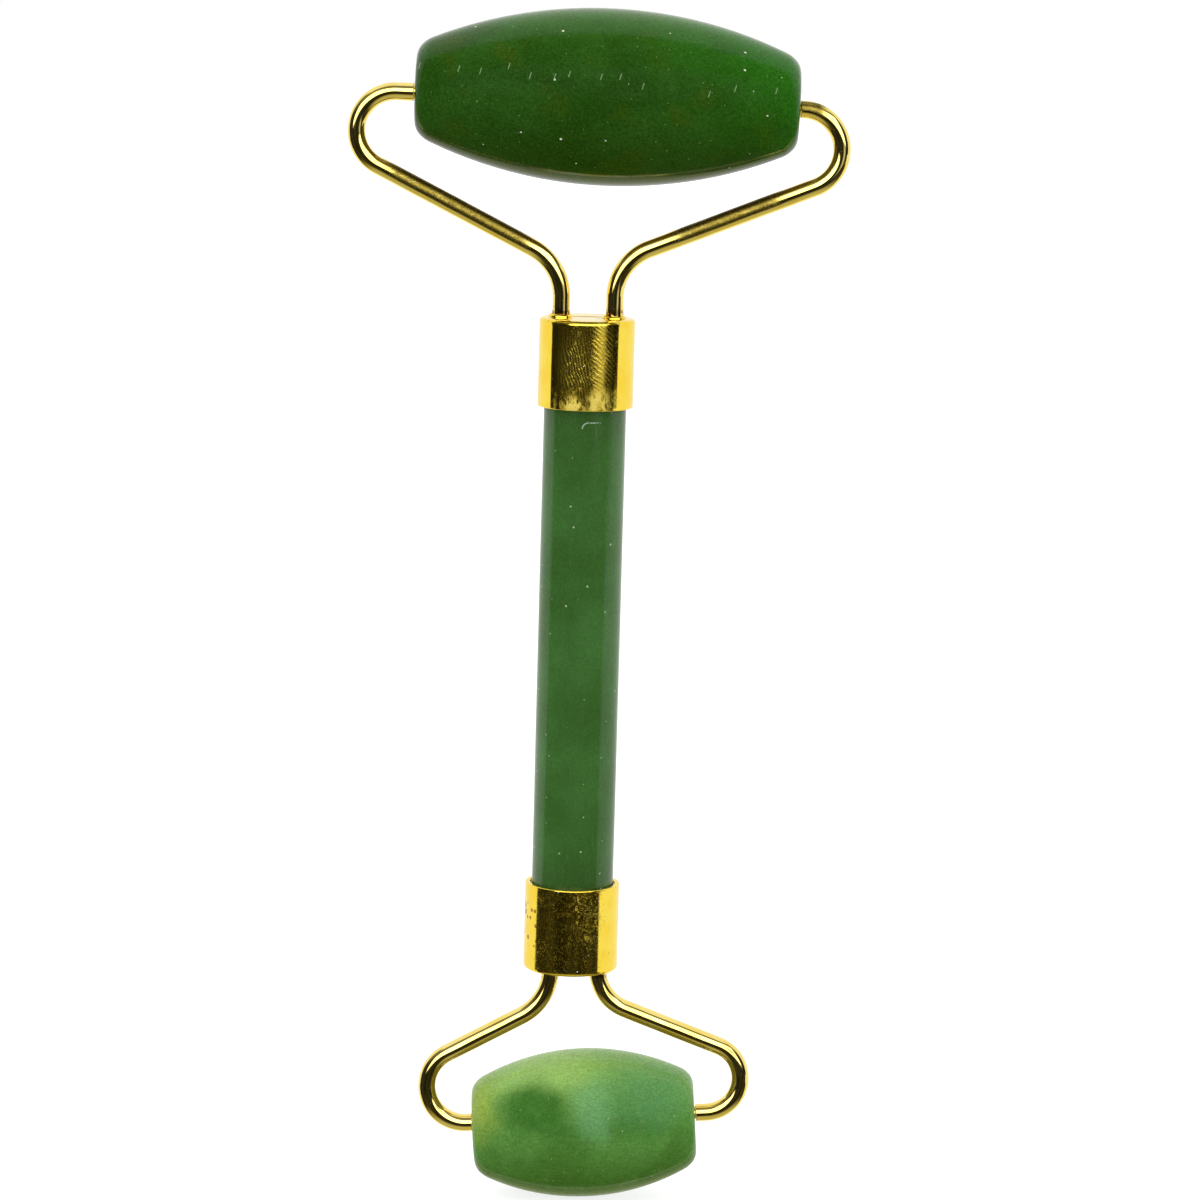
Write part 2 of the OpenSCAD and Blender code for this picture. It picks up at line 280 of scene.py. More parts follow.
class Tree:
    """Short ways to add shader nodes to one node tree. Every value may be a number or a socket."""

    def __init__(self, tree):
        self.tree = tree
        tree.nodes.clear()

    def add(self, kind, inputs=None, **settings):
        node = self.tree.nodes.new(kind)
        for key, value in settings.items():
            setattr(node, key, value)
        for key, value in (inputs or {}).items():
            self.feed(node.inputs[key], value)
        return node

    def feed(self, socket, value):
        if isinstance(value, bpy.types.NodeSocket):
            self.tree.links.new(value, socket)
        elif value is not None:
            socket.default_value = value

    def math(self, operation, a, b=None):
        return self.add("ShaderNodeMath", {0: a, 1: b}, operation=operation).outputs[0]

    def vector(self, operation, a, b):
        return self.add("ShaderNodeVectorMath", {0: a, 1: b}, operation=operation).outputs[0]

    def length(self, vector):
        return self.add("ShaderNodeVectorMath", {0: vector}, operation="LENGTH").outputs["Value"]

    def split(self, vector):
        return self.add("ShaderNodeSeparateXYZ", {0: vector}).outputs[:]

    def join(self, x, y, z):
        return self.add("ShaderNodeCombineXYZ", {0: x, 1: y, 2: z}).outputs[0]

    def fade(self, value, low, high, to_low=0.0, to_high=1.0):
        """Goes smoothly from to_low, where value is low, to to_high, where it is high."""
        if low > high:
            low, high, to_low, to_high = high, low, to_high, to_low
        inputs = {"Value": value, "From Min": low, "From Max": high,
                  "To Min": to_low, "To Max": to_high}
        node = self.add("ShaderNodeMapRange", inputs, interpolation_type="SMOOTHSTEP")
        return node.outputs["Result"]

    def total(self, *values):
        return reduce(partial(self.math, "ADD"), values)

    def product(self, *values):
        return reduce(partial(self.math, "MULTIPLY"), values)

    def mix(self, share, a, b, blend="MIX"):
        node = self.add("ShaderNodeMix", {0: share, 6: a, 7: b},
                        data_type="RGBA", blend_type=blend)
        return node.outputs[2]

    def raised(self, value, mask, amount):
        """The value plus amount where the mask is 1."""
        return self.total(value, self.product(mask, amount))

    def paint(self, colour, mask, strength, shade):
        """The colour with a shade laid over it where the mask is 1."""
        return self.mix(self.product(mask, strength), colour, shade)

    def noise(self, vector, scale, detail=2.0, roughness=0.5):
        inputs = {"Vector": vector, "Scale": scale, "Detail": detail, "Roughness": roughness}
        return self.add("ShaderNodeTexNoise", inputs).outputs["Fac"]

    def warped(self, vector, scale, amount):
        """The vector pushed about by a noise."""
        inputs = {"Vector": vector, "Scale": scale, "Detail": 2.0}
        push = self.add("ShaderNodeTexNoise", inputs).outputs["Color"]
        push = self.vector("SUBTRACT", push, (0.5, 0.5, 0.5))
        return self.vector("ADD", vector, self.vector("MULTIPLY", push, (amount,) * 3))

    def unrolled(self, place, radius):
        """Flat coordinates over a round form about Z: length round it, then length along it."""
        x, y, z = self.split(place)
        angle = self.math("ARCTAN2", x, self.product(y, -1.0))
        return self.join(self.product(angle, radius), z, 0.0)

    def specks(self, vector, scale, size, share, seed, dimensions="2D"):
        """Sparse round dots: 1 inside a dot. A share of the cells, 1/scale mm wide, hold one."""
        shifted = self.vector("ADD", vector, (seed * 3.1, seed * 1.7, seed * 2.3))
        node = self.add("ShaderNodeTexVoronoi", {"Vector": shifted, "Scale": scale},
                        voronoi_dimensions=dimensions)
        luck, spread, _ = self.split(node.outputs["Color"])
        radius = self.product(self.total(spread, 0.35), size * scale)
        inside = self.math("LESS_THAN", node.outputs["Distance"], radius)
        return self.product(inside, self.math("LESS_THAN", luck, share))

    def blob(self, vector, centre, inner, outer, stretch=(1, 1, 1)):
        """1 within inner of a point and 0 beyond outer from it, in millimetres."""
        offset = self.vector("MULTIPLY", self.vector("SUBTRACT", vector, centre), stretch)
        return self.fade(self.length(offset), inner, outer, 1.0, 0.0)

    def bump(self, height, strength, distance, normal=None):
        inputs = {"Strength": strength, "Distance": distance * MM, "Height": height,
                  "Normal": normal}
        return self.add("ShaderNodeBump", inputs).outputs["Normal"]


def srgb(red, green, blue):
    """A colour given by its 0-255 display values, as linear light."""
    def light(value):
        value /= 255
        return value / 12.92 if value <= 0.04045 else ((value + 0.055) / 1.055) ** 2.4
    return light(red), light(green), light(blue), 1.0


def new_material(name):
    material = bpy.data.materials.new(name)
    material.use_nodes = True
    nodes = Tree(material.node_tree)
    where = nodes.add("ShaderNodeTexCoord").outputs["Object"]
    place = nodes.vector("MULTIPLY", where, (1 / MM,) * 3)
    return material, nodes, place


def facing_away(nodes):
    """0 where a surface faces the viewer and 1 where it turns edge-on."""
    return nodes.add("ShaderNodeLayerWeight", {"Blend": 0.5}).outputs["Facing"]


def below_axis(nodes, stone):
    """How far a point lies below a stone's axis, in millimetres, however far the stone has spun."""
    point = nodes.add("ShaderNodeNewGeometry").outputs["Position"]
    offset = nodes.vector("SUBTRACT", point, stone.place.translation)
    down = stone.place.col[0].xyz / MM
    dot = nodes.add("ShaderNodeVectorMath", {0: offset, 1: down}, operation="DOT_PRODUCT")
    return dot.outputs["Value"]


def sheen(nodes, down, strength):
    """How strongly a softly polished stone mirrors the studio: well only towards its outline. On
    its underside, where down is positive, the sheen starts later and with a bright edge."""
    turned = nodes.math("SUBTRACT", facing_away(nodes), nodes.fade(down, -3, 3, 0.0, 0.22))
    level = nodes.fade(turned, 0.26, 0.34, 0.04, 0.5)
    level = nodes.product(level, nodes.fade(down, -3, 3, 1.0, strength))
    line = nodes.product(nodes.fade(turned, 0.29, 0.31), nodes.fade(turned, 0.345, 0.33),
                         nodes.fade(down, 2, 4), 3.1 * strength ** 2)
    return nodes.total(level, line)


def seen_in_metal(nodes, colour):
    """The colour of a stone, toned down where polished metal mirrors it."""
    glossy = nodes.add("ShaderNodeLightPath").outputs["Is Glossy Ray"]
    return nodes.paint(colour, glossy, 0.75, (0.17, 0.12, 0.03, 1))


def grained(nodes, place, colour, grain, spread, depth):
    """The colour with a fine grain, lighter and darker by depth, and faint brushed lines."""
    brushed = nodes.noise(nodes.vector("MULTIPLY", place, (5, 5, 0.45)), 1.0, 3, 0.7)
    shade = nodes.total(nodes.fade(grain, 0.5 - spread, 0.5 + spread, -depth, depth),
                        nodes.fade(brushed, 0.3, 0.7, 0.93, 1.07))
    return nodes.mix(1.0, colour, nodes.join(shade, shade, shade), "MULTIPLY")


def surface(nodes, **inputs):
    """The Principled surface with these inputs, by their names with underscores for spaces."""
    named = {key.replace("_", " "): value for key, value in inputs.items()}
    shader = nodes.add("ShaderNodeBsdfPrincipled", named)
    nodes.add("ShaderNodeOutputMaterial", {"Surface": shader.outputs[0]})


# ---- Materials

def large_jade():
    """Deep green stone: broad olive mottles, a brighter right end that is partly painted light,
    painted shade underneath and a painted light top rim, dust and a row of ticks.
    """
    material, nodes, place = new_material("large_jade")
    x, y, z = nodes.split(place)
    down = below_axis(nodes, LARGE)
    drift = nodes.warped(place, 0.12, 6.0)
    broad = nodes.noise(nodes.vector("MULTIPLY", drift, (1, 1, 0.7)), 0.13, 3, 0.55)
    cloud = nodes.noise(drift, 0.42, 4, 0.6)
    grain = nodes.noise(place, 3.6, 2, 0.75)

    colour = nodes.mix(nodes.fade(broad, 0.36, 0.66), srgb(34, 71, 13), srgb(42, 83, 22))
    olive = nodes.fade(nodes.noise(drift, 0.17, 3, 0.5), 0.52, 0.68)
    colour = nodes.paint(colour, olive, 0.55, srgb(54, 76, 9))
    # the upper right end is coloured brighter: partly the stone's own colour and partly painted
    # light
    bright = nodes.fade(nodes.math("SUBTRACT", z, nodes.product(x, 0.9)), 4, 27)
    bright = nodes.product(bright, nodes.fade(broad, 0.25, 0.6, 0.35, 1.0))
    colour = nodes.mix(bright, colour, srgb(38, 98, 17))
    colour = nodes.mix(nodes.fade(cloud, 0.45, 0.75, 0, 0.3), colour, srgb(50, 92, 33))
    # painted shade: darker towards the underside; painted light: a brighter band along the top rim
    colour = nodes.mix(nodes.fade(down, 0, 9, 0, 0.6), colour, srgb(34, 58, 3))
    colour = nodes.mix(nodes.fade(down, -6.5, -10.5, 0, 0.55), colour, srgb(52, 106, 20))
    colour = grained(nodes, place, colour, grain, 0.15, 0.22)

    # a row of ticks across the front, leaning to the right, with some left out
    pitch, row_slope, lean, kept = 2.7, 0.045, 0.27, 0.7
    step = nodes.math("DIVIDE", z, pitch)
    chance = nodes.add("ShaderNodeTexWhiteNoise", {"W": nodes.math("FLOOR", step)},
                       noise_dimensions="1D").outputs
    luck, height, shift = nodes.split(chance["Color"])
    row = nodes.total(nodes.product(z, row_slope), nodes.fade(height, 0, 1, -3.5, -2.1))
    rise = nodes.math("SUBTRACT", x, row)
    reach = nodes.math("SUBTRACT", nodes.math("FRACT", step), nodes.fade(shift, 0, 1, 0.3, 0.7))
    reach = nodes.total(nodes.product(reach, pitch), nodes.product(rise, lean))
    ticks = nodes.product(
        nodes.fade(nodes.math("ABSOLUTE", reach), 0.08, 0.04),
        nodes.fade(nodes.math("ABSOLUTE", rise), 0.45, 0.3),
        nodes.math("LESS_THAN", luck, kept),
        nodes.math("LESS_THAN", y, 0.0),
    )
    flat = nodes.unrolled(place, LARGE.radius)
    side = nodes.math("LESS_THAN", nodes.math("ABSOLUTE", z), LARGE.half - 1.3)
    dust = nodes.product(nodes.specks(flat, 0.28, 0.11, 0.22, 1), side)
    crumbs = nodes.product(nodes.specks(flat, 0.75, 0.06, 0.3, 2), side)
    colour = nodes.paint(colour, dust, 0.9, srgb(225, 232, 205))
    colour = nodes.paint(colour, crumbs, 0.45, srgb(150, 175, 120))
    colour = nodes.paint(colour, ticks, 0.42, srgb(170, 200, 150))

    rough = nodes.fade(nodes.noise(place, 1.3, 4, 0.6), 0.3, 0.7, 0.13, 0.2)
    normal = nodes.bump(grain, 0.1, 0.02)
    normal = nodes.bump(dust, 0.5, 0.05, normal)
    surface(
        nodes, Base_Color=seen_in_metal(nodes, colour), Roughness=rough, IOR=1.27, Normal=normal,
        Specular_IOR_Level=sheen(nodes, down, 0.7),
        Subsurface_Weight=0.35, Subsurface_Radius=(0.35, 1.0, 0.25), Subsurface_Scale=MM,
    )
    return material


def small_jade():
    """Pale green stone: a yellow-green shoulder, dark and bluish patches, fine brushed lines,
    painted light on top, painted shade underneath and in the dark patch at the left, and a painted
    misty highlight in the middle.
    """
    material, nodes, place = new_material("small_jade")
    z = nodes.split(place)[2]
    down = below_axis(nodes, SMALL)
    drift = nodes.warped(place, 0.25, 3.0)
    broad = nodes.noise(drift, 0.16, 3, 0.5)
    cloud = nodes.noise(drift, 0.5, 4, 0.6)
    grain = nodes.noise(place, 3.8, 2, 0.75)

    colour = nodes.mix(nodes.fade(broad, 0.35, 0.65), srgb(74, 120, 48), srgb(88, 138, 62))
    # painted light: the top is coloured lighter; painted shade: the underside is coloured darker
    colour = nodes.mix(nodes.fade(down, 0, -8), colour, srgb(120, 162, 82))
    colour = nodes.mix(nodes.fade(down, 0.5, 8.0, 0, 0.85), colour, srgb(60, 98, 26))
    patches = (  # centre, inner and outer radius, stretch, strength and colour
        ((-8.0, -5, -5.5), 2.0, 7.6, (1, 0.6, 0.72), 1.0, srgb(143, 181, 98)),  # pale shoulder
        ((-4.6, -5.5, -13), 0.6, 4.8, (0.6, 0.5, 1.2), 0.8, srgb(150, 172, 74)),  # yellow left end
        # painted shade: the dark patch at left is where the stone mirrors no softbox
        ((-3.4, -8.9, -5.6), 2.0, 6.2, (1.3, 0.5, 0.95), 0.95, srgb(58, 108, 38)),  # dark, at left
        # painted reflection: the misty middle patch is the softbox's soft highlight
        ((-3.0, -9.0, 1.6), 0.8, 4.4, (0.75, 0.5, 1.15), 0.75, srgb(108, 160, 104)),  # misty middle
        ((-3.2, -8.6, 7.8), 1.0, 6.0, (1.1, 0.5, 0.85), 0.7, srgb(60, 115, 56)),  # dark, at right
        ((-5.0, -7.2, 8.8), 0.8, 5.8, (1, 0.5, 0.7), 0.75, srgb(93, 145, 86)),  # bluish upper right
    )
    for centre, inner, outer, stretch, strength, shade in patches:
        patch = nodes.blob(drift, centre, inner, outer, stretch)
        colour = nodes.paint(colour, patch, strength, shade)
    colour = nodes.mix(nodes.fade(cloud, 0.5, 0.8, 0, 0.25), colour, srgb(122, 166, 90))
    colour = grained(nodes, place, colour, grain, 0.2, 0.18)

    side = nodes.math("LESS_THAN", nodes.math("ABSOLUTE", z), SMALL.half - 1.2)
    dust = nodes.specks(nodes.unrolled(place, SMALL.radius), 0.6, 0.06, 0.25, 5)
    dust = nodes.product(dust, side)
    colour = nodes.paint(colour, dust, 0.6, srgb(205, 220, 170))
    rough = nodes.fade(nodes.noise(place, 1.5, 4, 0.6), 0.3, 0.7, 0.2, 0.3)
    normal = nodes.bump(grain, 0.15, 0.02)
    surface(
        nodes, Base_Color=seen_in_metal(nodes, colour), Roughness=rough, IOR=1.28, Normal=normal,
        Specular_IOR_Level=sheen(nodes, down, 0.35),
        Subsurface_Weight=0.45, Subsurface_Radius=(0.7, 1.4, 0.5), Subsurface_Scale=MM,
    )
    return material


def handle_jade():
    """Mid green stone with an even fine grain, a few specks and pale streaks near its ends."""
    material, nodes, place = new_material("handle_jade")
    x, y, z = nodes.split(place)
    drift = nodes.warped(place, 0.3, 2.0)
    broad = nodes.noise(drift, 0.12, 3, 0.5)
    grain = nodes.noise(place, 3.8, 3, 0.75)
    colour = nodes.mix(nodes.fade(broad, 0.3, 0.7), srgb(55, 95, 37), srgb(65, 110, 50))
    ends = nodes.fade(nodes.math("ABSOLUTE", z), 23, 29)
    colour = nodes.paint(colour, ends, 0.55, srgb(52, 82, 36))
    shade = nodes.fade(grain, 0.3, 0.7, 0.84, 1.16)
    colour = nodes.mix(1.0, colour, nodes.join(shade, shade, shade), "MULTIPLY")
    streaks = nodes.noise(nodes.vector("MULTIPLY", place, (2.2, 2.2, 0.35)), 1.2, 3, 0.7)
    streaks = nodes.product(nodes.fade(streaks, 0.62, 0.72), 0.12)
    colour = nodes.mix(streaks, colour, srgb(140, 166, 122))
    dust = nodes.specks(nodes.unrolled(place, HANDLE_R), 0.4, 0.09, 0.3, 7)
    colour = nodes.paint(colour, dust, 0.7, srgb(200, 212, 185))

    # a small chipped hook just under the upper cup
    hook = nodes.vector("MULTIPLY", nodes.vector("SUBTRACT", place, (0.5, 0, 27.2)), (1, 0, 1))
    curl = nodes.product(
        nodes.fade(nodes.math("ABSOLUTE", nodes.math("SUBTRACT", nodes.length(hook), 0.75)),
                   0.11, 0.05),
        nodes.fade(x, 0.6, 0.3),
        nodes.fade(z, 27.1, 27.3),
    )
    bar = nodes.product(
        nodes.fade(nodes.math("ABSOLUTE", nodes.math("SUBTRACT", z, 27.95)), 0.1, 0.04),
        nodes.fade(nodes.math("ABSOLUTE", nodes.math("SUBTRACT", x, 1.2)), 1.0, 0.8),
    )
    chip = nodes.product(
        nodes.math("MAXIMUM", curl, bar),
        nodes.math("LESS_THAN", y, 0.0),
        nodes.fade(nodes.noise(place, 4.0, 2, 0.6), 0.38, 0.5),
    )
    colour = nodes.paint(colour, chip, 0.8, srgb(175, 195, 170))
    rough = nodes.fade(nodes.noise(place, 1.1, 4, 0.6), 0.3, 0.7, 0.12, 0.2)
    normal = nodes.bump(grain, 0.12, 0.02)
    surface(
        nodes, Base_Color=colour, Roughness=rough, IOR=1.37, Normal=normal,
        Subsurface_Weight=0.4, Subsurface_Radius=(0.4, 1.0, 0.3), Subsurface_Scale=MM,
    )
    return material


CUP_SHADES = (0.965, 0.735, 0.085, 1), (0.95, 0.67, 0.055, 1)
WIRE_SHADES = (0.96, 0.79, 0.25, 1), (0.93, 0.71, 0.16, 1)


def gold(name, wear, shades, film=None, painted_edge_glow=False):
    """Bright gold plating between two shades, with smudges, fine unevenness and pits scaled by
    wear, and if asked a painted pale glow towards its outline. film is a function that lays marks
    of use over the plating."""
    material, nodes, place = new_material(name)
    stain = nodes.noise(nodes.warped(place, 0.4, 2.0), 0.35, 4, 0.6)
    colour = nodes.mix(nodes.fade(stain, 0.35, 0.7), *shades)
    smudge = nodes.noise(nodes.warped(place, 0.8, 1.5), 0.7, 5, 0.65)
    smudge = nodes.fade(smudge, 0.52, 0.72, 0, wear)
    pits = nodes.specks(place, 1.6, 0.1, 0.05 * wear, 11, "3D")
    colour = nodes.paint(colour, pits, 0.75, (0.25, 0.12, 0.03, 1))
    fine = nodes.noise(place, 9.0, 3, 0.7)
    rough = nodes.raised(0.045, smudge, 0.16)
    rough = nodes.total(rough, nodes.fade(fine, 0.5, 0.8, 0, 0.05))
    normal = nodes.bump(fine, 0.06 * wear, 0.02)
    normal = nodes.bump(nodes.product(pits, -1), 0.6, 0.05, normal)
    if painted_edge_glow:
        # painted highlight: a pale glow painted into the colour towards the outline
        edge = nodes.fade(facing_away(nodes), 0.4, 0.85, 0, 0.8)
        colour = nodes.mix(edge, colour, (1.0, 0.93, 0.66, 1))
    metal = 1.0
    if film:
        colour, rough, metal, normal = film(nodes, place, colour, rough, normal)
    surface(nodes, Base_Color=colour, Metallic=metal, Roughness=rough, Normal=normal)
    return material


def scuffed(nodes, colour, scuffs, dust):
    """The colour and metalness of plating under matt scuffs and flecks of dust."""
    colour = nodes.mix(scuffs, colour, (0.80, 0.62, 0.11, 1))
    colour = nodes.mix(dust, colour, srgb(240, 234, 210))
    matt = nodes.math("MAXIMUM", nodes.product(scuffs, 0.85), dust)
    return colour, nodes.math("SUBTRACT", 1.0, matt)


def handled(nodes, place, colour, rough, normal):
    """Finger grease on the upper cup, with slanting ridges at the right and fainter, steeper ones
    in the middle, and two rubbed patches at the mouth."""
    x, _, z = nodes.split(place)
    flat = nodes.unrolled(place, CUP_MARKS_R)
    bent = nodes.warped(flat, 0.6, 0.9)
    patch = nodes.fade(nodes.noise(place, 1.4, 3, 0.6), 0.35, 0.6, 0.55, 1.0)

    def ridges(lean, pitch, low, high):
        across = nodes.split(nodes.vector("MULTIPLY", bent, (math.cos(lean), math.sin(lean), 0)))
        across = nodes.total(across[0], across[1])
        wave = nodes.math("SINE", nodes.product(across, 2 * math.pi / pitch))
        return nodes.fade(wave, low, high)
    greasy = nodes.blob(place, (1.8, -5.1, 35.8), 1.3, 4.6, (2.6, 0.5, 0.6))
    right = nodes.product(greasy, ridges(math.radians(48), 0.42, -0.3, 0.8), 0.65)
    middle = nodes.blob(place, (-0.9, -5.5, 34.3), 0.5, 3.6, (1.1, 0.5, 0.62))
    middle = nodes.product(middle, ridges(math.radians(14), 0.36, 0.0, 0.9), 0.5)
    prints = nodes.product(nodes.math("MAXIMUM", right, middle), patch)
    brushed = nodes.noise(nodes.vector("MULTIPLY", place, (1.7, 1.7, 0.8)), 1.0, 4, 0.7)
    rubbed = nodes.math("MAXIMUM", nodes.blob(place, (-1.5, -5.5, 30.0), 0.4, 1.8, (1.0, 0.4, 1)),
                        nodes.blob(place, (1.6, -5.5, 30.3), 0.5, 2.6, (1.3, 0.4, 0.9)))
    scuffs = nodes.product(nodes.fade(brushed, 0.36, 0.56), rubbed)
    thin = nodes.product(nodes.fade(brushed, 0.45, 0.6), nodes.fade(z, 32.4, 30.0),
                         nodes.fade(nodes.math("ABSOLUTE", x), 4.4, 3.2), 0.45)
    scuffs = nodes.math("MAXIMUM", scuffs, thin)
    dust = nodes.specks(flat, 1.0, 0.045, 0.08, 3)
    dust = nodes.product(dust, nodes.math("LESS_THAN", z, 39.8))
    haze = nodes.blob(place, (-0.2, -5.6, 35.0), 1.0, 3.4, (1.0, 0.5, 0.4))
    haze = nodes.product(haze, 0.035)
    matt = nodes.total(nodes.product(prints, 0.4), haze)
    matt = nodes.math("MAXIMUM", scuffs, matt)
    colour, metal = scuffed(nodes, colour, matt, dust)
    rough = nodes.raised(rough, greasy, 0.1)
    rough = nodes.raised(rough, matt, 0.3)
    return colour, rough, metal, nodes.bump(prints, 0.8, 0.02, normal)


def stained(nodes, place, colour, rough, normal):
    """Dried stains over the whole of the lower cup, pits down its left and flecks of dust."""
    x, _, z = nodes.split(place)
    flat = nodes.unrolled(place, CUP_MARKS_R)
    stains = nodes.noise(nodes.warped(place, 0.7, 1.6), 0.6, 5, 0.7)
    spots = nodes.noise(nodes.warped(place, 2.0, 0.5), 2.2, 3, 0.6)
    stains = nodes.product(nodes.fade(stains, 0.46, 0.66), nodes.fade(spots, 0.35, 0.65))
    worn = nodes.blob(place, (2.4, -5.0, -32.0), 1.0, 5.0, (1.2, 0.5, 0.8))
    stains = nodes.product(stains, nodes.fade(worn, 0, 1, 0.2, 1.0))
    speckled = nodes.fade(nodes.noise(place, 3.2, 3, 0.7), 0.48, 0.62)
    speckled = nodes.product(speckled, nodes.fade(worn, 0, 1, 0.3, 1.0))
    stains = nodes.math("MAXIMUM", nodes.product(stains, 0.6), speckled)
    holes = nodes.product(nodes.specks(flat, 1.1, 0.3, 0.5, 6), nodes.fade(x, -3.6, -4.2))
    holes = nodes.product(holes, nodes.fade(z, -31.4, -32.0), nodes.fade(z, -37.2, -36.6))
    dust = nodes.specks(flat, 0.8, 0.07, 0.1, 9)
    dust = nodes.product(dust, nodes.math("GREATER_THAN", z, -39.8))
    colour = nodes.paint(colour, holes, 0.85, (0.30, 0.13, 0.02, 1))
    colour, metal = scuffed(nodes, colour, nodes.product(stains, 0.16), dust)
    rough = nodes.raised(rough, stains, 0.2)
    return colour, rough, metal, nodes.bump(holes, -0.6, 0.05, normal)


def dark_yoke_marks(nodes, place, colour, rough, normal):
    """Dull, dark speckled colour along the tops of the large yoke's straight slopes and over the
    top of its right loop by the large stone, and brown heat marks where the wires leave the cups."""
    x, _, z = nodes.split(place)
    facing = nodes.split(nodes.add("ShaderNodeTexCoord").outputs["Normal"])[2]
    out = nodes.math("ABSOLUTE", x)
    slopes = nodes.product(
        nodes.fade(nodes.total(out, nodes.fade(x, -1, 1, 0, -3)), 6.0, 8.5),
        nodes.fade(nodes.total(out, nodes.fade(x, -1, 1, 0, 1.5)), 25.5, 23.0),
        nodes.fade(z, 62.0, 60.0),
        nodes.fade(facing, -0.42, -0.3),
    )
    loop = nodes.product(
        nodes.fade(x, 24.0, 24.4),
        nodes.fade(x, 28.4, 27.0),
        nodes.fade(z, 62, 64),
        nodes.fade(facing, -0.12, 0.0),
        nodes.fade(facing, 0.95, 0.87),
    )
    patchy = nodes.noise(nodes.vector("MULTIPLY", place, (0.5, 2.0, 2.0)), 1.6, 4, 0.7)
    film = nodes.product(nodes.math("MAXIMUM", slopes, loop), nodes.math("GREATER_THAN", z, 0.0),
                         nodes.fade(patchy, 0.3, 0.5, 0.75, 1.0))
    specks = nodes.fade(nodes.noise(place, 4.0, 3, 0.7), 0.5, 0.62)
    colour = nodes.paint(colour, film, 0.95, (0.17, 0.13, 0.018, 1))
    colour = nodes.mix(nodes.product(film, specks, 0.6), colour, (0.05, 0.03, 0.004, 1))
    root = nodes.fade(nodes.math("ABSOLUTE", z), 42.0, 40.6)
    root = nodes.product(root, nodes.fade(nodes.noise(place, 1.5, 3, 0.6), 0.45, 0.55))
    colour = nodes.paint(colour, root, 0.85, (0.22, 0.07, 0.01, 1))
    rough = nodes.raised(rough, film, 0.3)
    return colour, rough, 1.0, normal


def nylon():
    material, nodes, place = new_material("sleeve_nylon")
    grain = nodes.noise(place, 7.0, 3, 0.6)
    colour = nodes.mix(grain, srgb(226, 222, 205), srgb(243, 241, 232))
    rough = nodes.fade(grain, 0.3, 0.7, 0.42, 0.55)
    surface(
        nodes, Base_Color=colour, Roughness=rough, Normal=nodes.bump(grain, 0.2, 0.02),
        Subsurface_Weight=0.3, Subsurface_Radius=(0.5, 0.5, 0.5), Subsurface_Scale=MM,
    )
    return material


def epoxy():
    material, nodes, place = new_material("glue_epoxy")
    cloud = nodes.noise(place, 1.6, 4, 0.6)
    colour = nodes.mix(cloud, srgb(205, 190, 140), srgb(232, 226, 200))
    bubbles = nodes.specks(place, 3.0, 0.08, 0.3, 4, "3D")
    colour = nodes.paint(colour, bubbles, 0.5, srgb(250, 248, 236))
    rough = nodes.fade(cloud, 0.3, 0.7, 0.1, 0.3)
    surface(
        nodes, Base_Color=colour, Roughness=rough, Normal=nodes.bump(cloud, 0.4, 0.1),
        Subsurface_Weight=0.6, Subsurface_Radius=(1.0, 0.9, 0.6), Subsurface_Scale=MM,
    )
    return material


# ---- Pieces

def upright_box(stone, node):
    """Where a CAD node of a stone's end starts and stops along the handle's axis and how far it
    reaches to the right, in millimetres, as if its end pointed up."""
    low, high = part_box(node)
    near, far = (low.z, high.z) if stone.up > 0 else (-high.z, -low.z)
    return near / MM, far / MM, high.x / MM


def barrel_profile(stone):
    """Half section of a stone: crowned side, rounded rims, flat ends and a pocket in each."""
    rim_fillet, face_fillet = 3.2, 2.1
    drop = stone.crown_r - stone.radius

    def crown(z):
        return math.sqrt(stone.crown_r ** 2 - z * z) - drop
    bevel = 0.0
    while stone.face_r + bevel < crown(stone.half - bevel):
        bevel += 0.005
    rim_r, rim_z = stone.face_r + bevel, stone.half - bevel
    side = [(crown(z), z, 0) for z in np.linspace(0, rim_z - 0.6, 90)]
    upper = side + [
        (rim_r, rim_z, rim_fillet),
        (stone.face_r, stone.half, face_fillet),
        (POCKET_R + MOUTH_BEVEL, stone.half, 0.05),
        (POCKET_R, stone.half - MOUTH_BEVEL, 0.05),
        (POCKET_R, stone.half - POCKET_DEPTH, 0.1),
        (0, stone.half - POCKET_DEPTH, 0),
    ]
    lower = [(r, -z, fillet) for r, z, fillet in reversed(upper[1:])]
    return polyline(lower + upper, 0.3)


def make_stone(stone, material, slot, seed):
    uneven = ripple(seed, 0.35, 0.012)

    def shape(radii, angles, heights):
        free = np.clip((radii - 4) / 4, 0, 1)
        return radii + uneven(angles, heights) * free, heights
    form = Form()
    form.lathe(barrel_profile(stone), 192, shape)
    # the barrel moves off the drilled axis, and the pockets stay on it
    form.verts = [(x + stone.off_axis * min(max((math.hypot(x, y) - 2) / 2, 0), 1), y, z)
                  for x, y, z in form.verts]
    piece = form.build(stone.end + "_stone_polished", stone.place)
    finish_piece(piece, stone.end + "_stone", slot, material, stone.end + "_roller")


def make_handle(material):
    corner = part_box("handle_rod")[1]
    half, radius = corner.z / MM, corner.x / MM
    uneven = ripple(5, 0.3, 0.008)
    form = Form()
    corners = [
        (0, -half, 0),
        (radius - HANDLE_BEVEL, -half, 0.2),
        (radius, HANDLE_BEVEL - half, 0.4),
        (radius, half - HANDLE_BEVEL, 0.4),
        (radius - HANDLE_BEVEL, half, 0.2),
        (0, half, 0),
    ]
    form.lathe(polyline(corners, 0.4), 128, lambda r, a, z: (r + uneven(a, z), z))
    finish_piece(form.build("handle_stone"), "handle", "handle_jade", material, "handle_rod")


